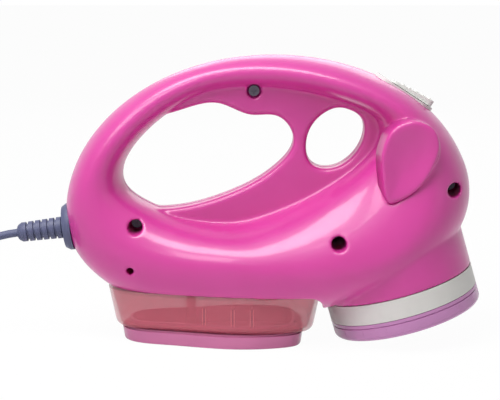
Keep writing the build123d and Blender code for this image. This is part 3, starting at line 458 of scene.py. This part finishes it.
ticks = from_nodes("cap_ticks", tick_ring_tree(lilac_abs), {
    "Count": TICKS, "Radius": HEAD_RADIUS + TICK_PROUD - TICK_SIZE.x / 2, "Bar Size": TICK_SIZE,
    "Half Step": (0.0, 0.0, math.pi / TICKS), "Place": HEAD_FACE + TICK_HIGH * HEAD_AXIS,
    "Turn": (0.0, -HEAD_TILT, 0.0)})
new_piece("cap_ticks", ticks, "cap", lilac_abs)

# Grip rings on the plug: round wires on ellipses that grow with the plug
GRIPS = 4
GRIP_FIRST = 5.0 * mm
GRIP_STEP = 2.5 * mm
GRIP_WIRE = 0.5 * mm
GRIP_WIDE = 6.6 * mm
GRIP_TALL = 4.9 * mm
GRIP_WIDENS = 0.74 * mm
GRIP_HEIGHTENS = 0.19 * mm
HOOP_SIDES = 40
WIRE_SIDES = 8


def grip_row_tree(material):
    """Upright hoops in a row, each larger than the one before, with a round wire."""
    tree, given = new_tree("grip_row", (
        ("Count", "NodeSocketInt"), ("First Place", "NodeSocketVector"), ("Step", "NodeSocketVector"),
        ("First Size", "NodeSocketVector"), ("Size Step", "NodeSocketVector"), ("Wire", "NodeSocketFloat"),
    ))
    row = put(tree, "GeometryNodeMeshLine", {
        "Count": given["Count"], "Start Location": given["First Place"], "Offset": given["Step"]})
    number = put(tree, "GeometryNodeInputIndex")
    grown = put(tree, "ShaderNodeVectorMath", {0: given["Size Step"], 3: number.outputs["Index"]},
                operation="SCALE")
    size = put(tree, "ShaderNodeVectorMath", {0: given["First Size"], 1: grown.outputs["Vector"]},
               operation="ADD")
    hoop = put(tree, "GeometryNodeCurvePrimitiveCircle", {"Resolution": HOOP_SIDES, "Radius": 1.0})
    upright = put(tree, "GeometryNodeTransform", {
        "Geometry": hoop.outputs["Curve"], "Rotation": (0.0, math.pi / 2, 0.0)})
    hoops = put(tree, "GeometryNodeInstanceOnPoints", {
        "Points": row.outputs["Mesh"], "Instance": upright.outputs["Geometry"],
        "Scale": size.outputs["Vector"]})
    loose = put(tree, "GeometryNodeRealizeInstances", {"Geometry": hoops.outputs["Instances"]})
    wire = put(tree, "GeometryNodeCurvePrimitiveCircle", {"Resolution": WIRE_SIDES, "Radius": given["Wire"]})
    round_bar = put(tree, "GeometryNodeCurveToMesh", {
        "Curve": loose.outputs["Geometry"], "Profile Curve": wire.outputs["Curve"]})
    end_tree(tree, round_bar.outputs["Mesh"], material)
    return tree


plug_low, plug_high = (Vector(corner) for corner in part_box("plug_body"))
grips = from_nodes("plug_grips", grip_row_tree(slate_pvc), {
    "Count": GRIPS, "Wire": GRIP_WIRE,
    "First Place": (plug_high.x - GRIP_FIRST, (plug_low.y + plug_high.y) / 2, (plug_low.z + plug_high.z) / 2),
    "Step": (-GRIP_STEP, 0.0, 0.0),
    "First Size": (1.0, GRIP_WIDE, GRIP_TALL), "Size Step": (0.0, GRIP_WIDENS, GRIP_HEIGHTENS)})
shade_smooth(grips)
plug_grips = new_piece("plug_grips", grips, "housing", slate_pvc)

# Strap round the coil: a flat loop with rounded corners, and a flap where its end overlaps
STRAP_POINTS = 64
STRAP_SQUARE = 0.28
STRAP_THICK = 1.0 * mm
STRAP_EDGE = 0.2 * mm
FLAP_THICK = 0.9 * mm
# Shares of the strap's width, of the loop's length and of the flap's own thickness
FLAP_WIDE = 0.95
FLAP_LONG = 0.55
FLAP_SUNK = 0.15


def squared(value):
    """A sine or cosine that stays near one for longer, so that a circle becomes a rounded box."""
    return math.copysign(abs(value) ** STRAP_SQUARE, value)


def strap_mesh():
    """The loop and the flap in the box of the CAD tie."""
    low, high = (Vector(corner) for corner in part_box("cord_tie"))
    size = high - low
    middle = (low + high) / 2
    half = size / 2
    work = bmesh.new()
    rows = []
    for inset, along in ((0.0, -1), (0.0, 1), (STRAP_THICK, 1), (STRAP_THICK, -1)):
        row = []
        for k in range(STRAP_POINTS):
            turn = 2 * math.pi * k / STRAP_POINTS
            across = squared(math.cos(turn)) * (half.y - inset)
            rise = squared(math.sin(turn)) * (half.z - inset)
            row.append(work.verts.new(middle + Vector((along * half.x, across, rise))))
        rows.append(row)
    for k in range(STRAP_POINTS):
        after_k = (k + 1) % STRAP_POINTS
        for row, after in zip(rows, rows[1:] + rows[:1]):
            work.faces.new((row[k], row[after_k], after[after_k], after[k]))
    for vertex in bmesh.ops.create_cube(work, size=1.0)["verts"]:
        vertex.co = Vector((
            middle.x + vertex.co.x * FLAP_WIDE * size.x, middle.y + vertex.co.y * FLAP_LONG * size.y,
            high.z + (vertex.co.z + 0.5 - FLAP_SUNK) * FLAP_THICK))
    return closed_mesh("cord_strap", work)


strap_data = baked("cord_strap", strap_mesh(), [
    ("BEVEL", {"width": STRAP_EDGE, "segments": 2, "limit_method": "ANGLE"})])
strap = new_piece("cord_strap", strap_data, "housing", strap_nylon)
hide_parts("cord_tie")

# Painted highlights: pale lines inside the tank's near and far wall, behind the clear plastic, where the
# fins' edges catch the light
FIN_PLACES = (-4.0 * mm, 11.6 * mm, 22.0 * mm)
FIN_HALF = 0.8 * mm
FIN_LOW = 13.0 * mm
FIN_HIGH = 22.2 * mm
FIN_STEPS = 6
LINE_HALF = 0.2 * mm
TANK_WALL = 2.0 * mm
# Shares of the wall between which a line lies, and a place outside the tank from which the wall is found
LINE_NEAR = 0.55
LINE_FAR = 0.95
OUTSIDE = 0.1


def fin_highlight_rings(probe, x, side):
    """Rings of one thin painted highlight line that follows the tank's wall upwards."""
    rings = []
    for step in range(FIN_STEPS + 1):
        z = FIN_LOW + (FIN_HIGH - FIN_LOW) * step / FIN_STEPS
        wall = probe.ray_cast(Vector((x, side * OUTSIDE, z)), Vector((0, -side, 0)))[0].y
        near = wall - side * LINE_NEAR * TANK_WALL
        far = wall - side * LINE_FAR * TANK_WALL
        left = x - LINE_HALF
        right = x + LINE_HALF
        rings.append([(left, near, z), (right, near, z), (right, far, z), (left, far, z)])
    return rings


def fin_highlight_lines():
    """Two painted highlight lines for each fin on each side of the tank."""
    tank = merged_copy("tank_shell")
    probe = BVHTree.FromPolygons([v.co for v in tank.vertices], [p.vertices[:] for p in tank.polygons])
    work = bmesh.new()
    for place in FIN_PLACES:
        for edge in (-FIN_HALF, FIN_HALF):
            for side in (-1, 1):
                add_stack(work, fin_highlight_rings(probe, place + edge, side))
    return closed_mesh("tank_fin_painted_highlights", work)


new_piece("tank_fin_painted_highlights", fin_highlight_lines(), "tank", fin_highlight_san)

# Cord: the route leaves the boot, falls to the coil, winds from its top layer down and ends in the plug
CORD_RADIUS = 2.25 * mm
CORD_WIDE = 2 * CORD_RADIUS
BOOT_EXIT = Vector((-108.174, 0.0, 58.695)) * mm
# Free run: fall in degrees and length in mm of each stretch; the steep one takes the height that is left
RUN_FALLS = (7.0, 35.0, 60.0, 30.0, 0.0)
RUN_LONGS = (14.0, 18.0, 0.0, 18.0, 14.0)
STEEP_RUN = 2
# Coil: half turns of each layer, from the top one down, and the room between cords and over the strap
LAYER_HALVES = (5, 5, 5, 6)
TURN_GAP = 1.6 * mm
LAYER_GAP = 0.6 * mm
STRAP_GAP = 0.05 * mm
TURN_PITCH = CORD_WIDE + TURN_GAP
LAYER_PITCH = CORD_WIDE + LAYER_GAP
COIL_INSIDE = 15.5 * mm
COIL_OUT = COIL_INSIDE + LAYER_HALVES[0] * TURN_PITCH / 2
COIL_LOW = STRAP_THICK + CORD_RADIUS + STRAP_GAP
COIL_TOP = COIL_LOW + (len(LAYER_HALVES) - 1) * LAYER_PITCH
HALF_TURN_POINTS = 8
# Lead: from the coil to the middle of the plug
LEAD_RUN = 9.0 * mm
PLUG_MIDDLE = 6.4 * mm
PLUG_RISE = PLUG_MIDDLE - COIL_LOW


def run_points():
    """The free run from the boot to the coil's top layer."""
    falls = [math.radians(fall) for fall in RUN_FALLS]
    longs = [run * mm for run in RUN_LONGS]
    fallen = sum(run * math.sin(fall) for run, fall in zip(longs, falls))
    longs[STEEP_RUN] = (BOOT_EXIT.z - COIL_TOP - fallen) / math.sin(falls[STEEP_RUN])
    points = [BOOT_EXIT.copy()]
    for run, fall in zip(longs, falls):
        points.append(points[-1] + Vector((-run * math.cos(fall), 0, -run * math.sin(fall))))
    return points


def half_turn(coil_x, sign, reach, new_reach, level, new_level):
    """Half a turn on the coil's far or near side, outside the arc by as much as the smooth line cuts in."""
    middle_y = COIL_OUT + sign * (reach - new_reach) / 2
    wide = (reach + new_reach) / 2 / math.cos(math.pi / (2 * HALF_TURN_POINTS))
    points = []
    for k in range(HALF_TURN_POINTS):
        turn = math.pi * (k + 0.5) / HALF_TURN_POINTS
        share = (1 - math.cos(turn)) / 2
        points.append(Vector((
            coil_x + sign * wide * math.sin(turn), middle_y + sign * wide * math.cos(turn),
            level + (new_level - level) * share)))
    return points


def coil_points(coil_x):
    """The coil's turns, wound inwards and outwards layer by layer, and the end of the last turn."""
    points = []
    reach = COIL_OUT
    level = COIL_TOP
    inward = -1
    sign = -1
    for layer, halves in enumerate(LAYER_HALVES):
        if layer > 0:
            points += half_turn(coil_x, sign, reach, reach, level, level - LAYER_PITCH)
            level -= LAYER_PITCH
            sign = -sign
        for _ in range(halves):
            new_reach = reach + inward * TURN_PITCH / 2
            points += half_turn(coil_x, sign, reach, new_reach, level, level)
            reach = new_reach
            sign = -sign
        inward = -inward
    return points, Vector((coil_x, COIL_OUT + sign * reach, level))


def cord_points():
    """The whole route: free run, coil and lead."""
    run = run_points()
    coil, coil_end = coil_points(run[-1].x - CORD_WIDE)
    lead_start = coil_end - Vector((CORD_WIDE, 0, 0))
    lead = [lead_start + Vector((-step * LEAD_RUN, 0, rise))
            for step, rise in enumerate((0, 0, PLUG_RISE, PLUG_RISE))]
    return run + coil + lead


line = bpy.data.curves.new("mains_cord", "CURVE")
line.dimensions = "3D"
line.bevel_depth = CORD_RADIUS
line.bevel_resolution = 3
line.resolution_u = 5
line.use_fill_caps = True
spline = line.splines.new("NURBS")
route = cord_points()
spline.points.add(len(route) - 1)
for spot, place in zip(spline.points, route):
    spot.co = (*place, 1.0)
# Set after the points, because before them it would leave straight runs
spline.order_u = 3
spline.use_endpoint_u = True
cord = new_piece("mains_cord", line, "housing", slate_pvc)
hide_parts("cord_run", "cord_coil", "cord_lead")

# Camera: the photograph's view from the left side, a little above
PHOTO_WIDTH = 500
FOCAL_PIXELS = 1620.0
SENSOR = 36.0
CAMERA_AIM = Vector((21.0, 0.0, 77.1)) * mm
CAMERA_FAR = 0.9
CAMERA_RISE = math.radians(9.5)
CLIP_NEAR = 0.01
camera = placed("camera", bpy.data.cameras.new("camera"))
camera.data.sensor_width = SENSOR
camera.data.lens = FOCAL_PIXELS / PHOTO_WIDTH * SENSOR
camera.data.clip_start = CLIP_NEAR
camera.location = CAMERA_AIM + CAMERA_FAR * Vector((0, -math.cos(CAMERA_RISE), math.sin(CAMERA_RISE)))
camera.rotation_euler = (math.pi / 2 - CAMERA_RISE, 0, 0)
scene.camera = camera


def direct_rays(tree):
    """One for rays from the camera, off a gloss or through clear plastic, else zero."""
    rays = put(tree, "ShaderNodeLightPath").outputs
    seen = rays["Is Camera Ray"]
    for kind in ("Is Glossy Ray", "Is Transmission Ray"):
        seen = put(tree, "ShaderNodeMath", {0: seen, 1: rays[kind]}, operation="MAXIMUM").outputs[0]
    return seen


# Floor: pale and plain, lit for the camera so that only a faint shadow shows
FLOOR_HALF = 4.0
FLOOR_GLOW = 0.97
FLOOR_CORNERS = ((-1, -1), (1, -1), (1, 1), (-1, 1))
floor_mesh = bpy.data.meshes.new("floor")
floor_mesh.from_pydata([(x * FLOOR_HALF, y * FLOOR_HALF, 0) for x, y in FLOOR_CORNERS], [], [(0, 1, 2, 3)])
floor = placed("floor", floor_mesh)
paper = empty_material("white_paper")
tree = paper.node_tree
share = put(tree, "ShaderNodeMath", {0: direct_rays(tree), 1: FLOOR_GLOW}, operation="MULTIPLY")
dull = put(tree, "ShaderNodeBsdfDiffuse", {"Color": linear("#F4F4F4")})
glow = put(tree, "ShaderNodeEmission", {"Color": linear("#FFFFFF"), "Strength": 1.0})
both = put(tree, "ShaderNodeMixShader", {0: share.outputs[0], 1: dull.outputs[0], 2: glow.outputs[0]})
put(tree, "ShaderNodeOutputMaterial", {"Surface": both.outputs[0]})
dress(floor, paper)

# World: white for the camera, a softer grey for the light on the object
SOFT_LIGHT = 0.12
world = bpy.data.worlds.new("studio")
scene.world = world
world.use_nodes = True
tree = world.node_tree
tree.nodes.clear()
soft = put(tree, "ShaderNodeBackground", {"Color": linear("#F2F2F4"), "Strength": SOFT_LIGHT})
white = put(tree, "ShaderNodeBackground", {"Color": linear("#FFFFFF"), "Strength": 1.0})
both = put(tree, "ShaderNodeMixShader", {0: direct_rays(tree), 1: soft.outputs[0], 2: white.outputs[0]})
put(tree, "ShaderNodeOutputWorld", {"Surface": both.outputs[0]})


def softbox(name, place, aim, wide, high, power):
    """A lamp with a rectangular face, in metres and watts."""
    lamp = bpy.data.lights.new(name, "AREA")
    lamp.shape = "RECTANGLE"
    lamp.size = wide
    lamp.size_y = high
    lamp.energy = power
    holder = placed(name, lamp)
    holder.location = place
    holder.rotation_euler = (Vector(aim) - Vector(place)).to_track_quat("-Z", "Y").to_euler()


# Lamps: large ones above and in front, a thin one for the belly's streak, others at the sides and behind
softbox("top", place=(-0.18, -0.28, 0.95), aim=(0.03, 0, 0.07), wide=0.8, high=0.3, power=8.6)
softbox("front", place=(-0.52, -0.6, 0.85), aim=(0.0, 0, 0.07), wide=0.6, high=0.3, power=3.8)
softbox("streak", place=(-0.42, -0.72, 0.62), aim=(0.0, 0, 0.07), wide=0.55, high=0.02, power=0.5)
softbox("left", place=(-0.9, -0.5, 0.5), aim=(0.0, 0, 0.08), wide=0.5, high=0.6, power=0.2)
softbox("right", place=(0.9, -0.6, 0.45), aim=(0.05, 0, 0.08), wide=0.4, high=0.6, power=0.3)
softbox("back", place=(0.1, 0.95, 0.6), aim=(0.0, 0, 0.08), wide=0.8, high=0.5, power=2.0)

scene.view_settings.view_transform = "Standard"
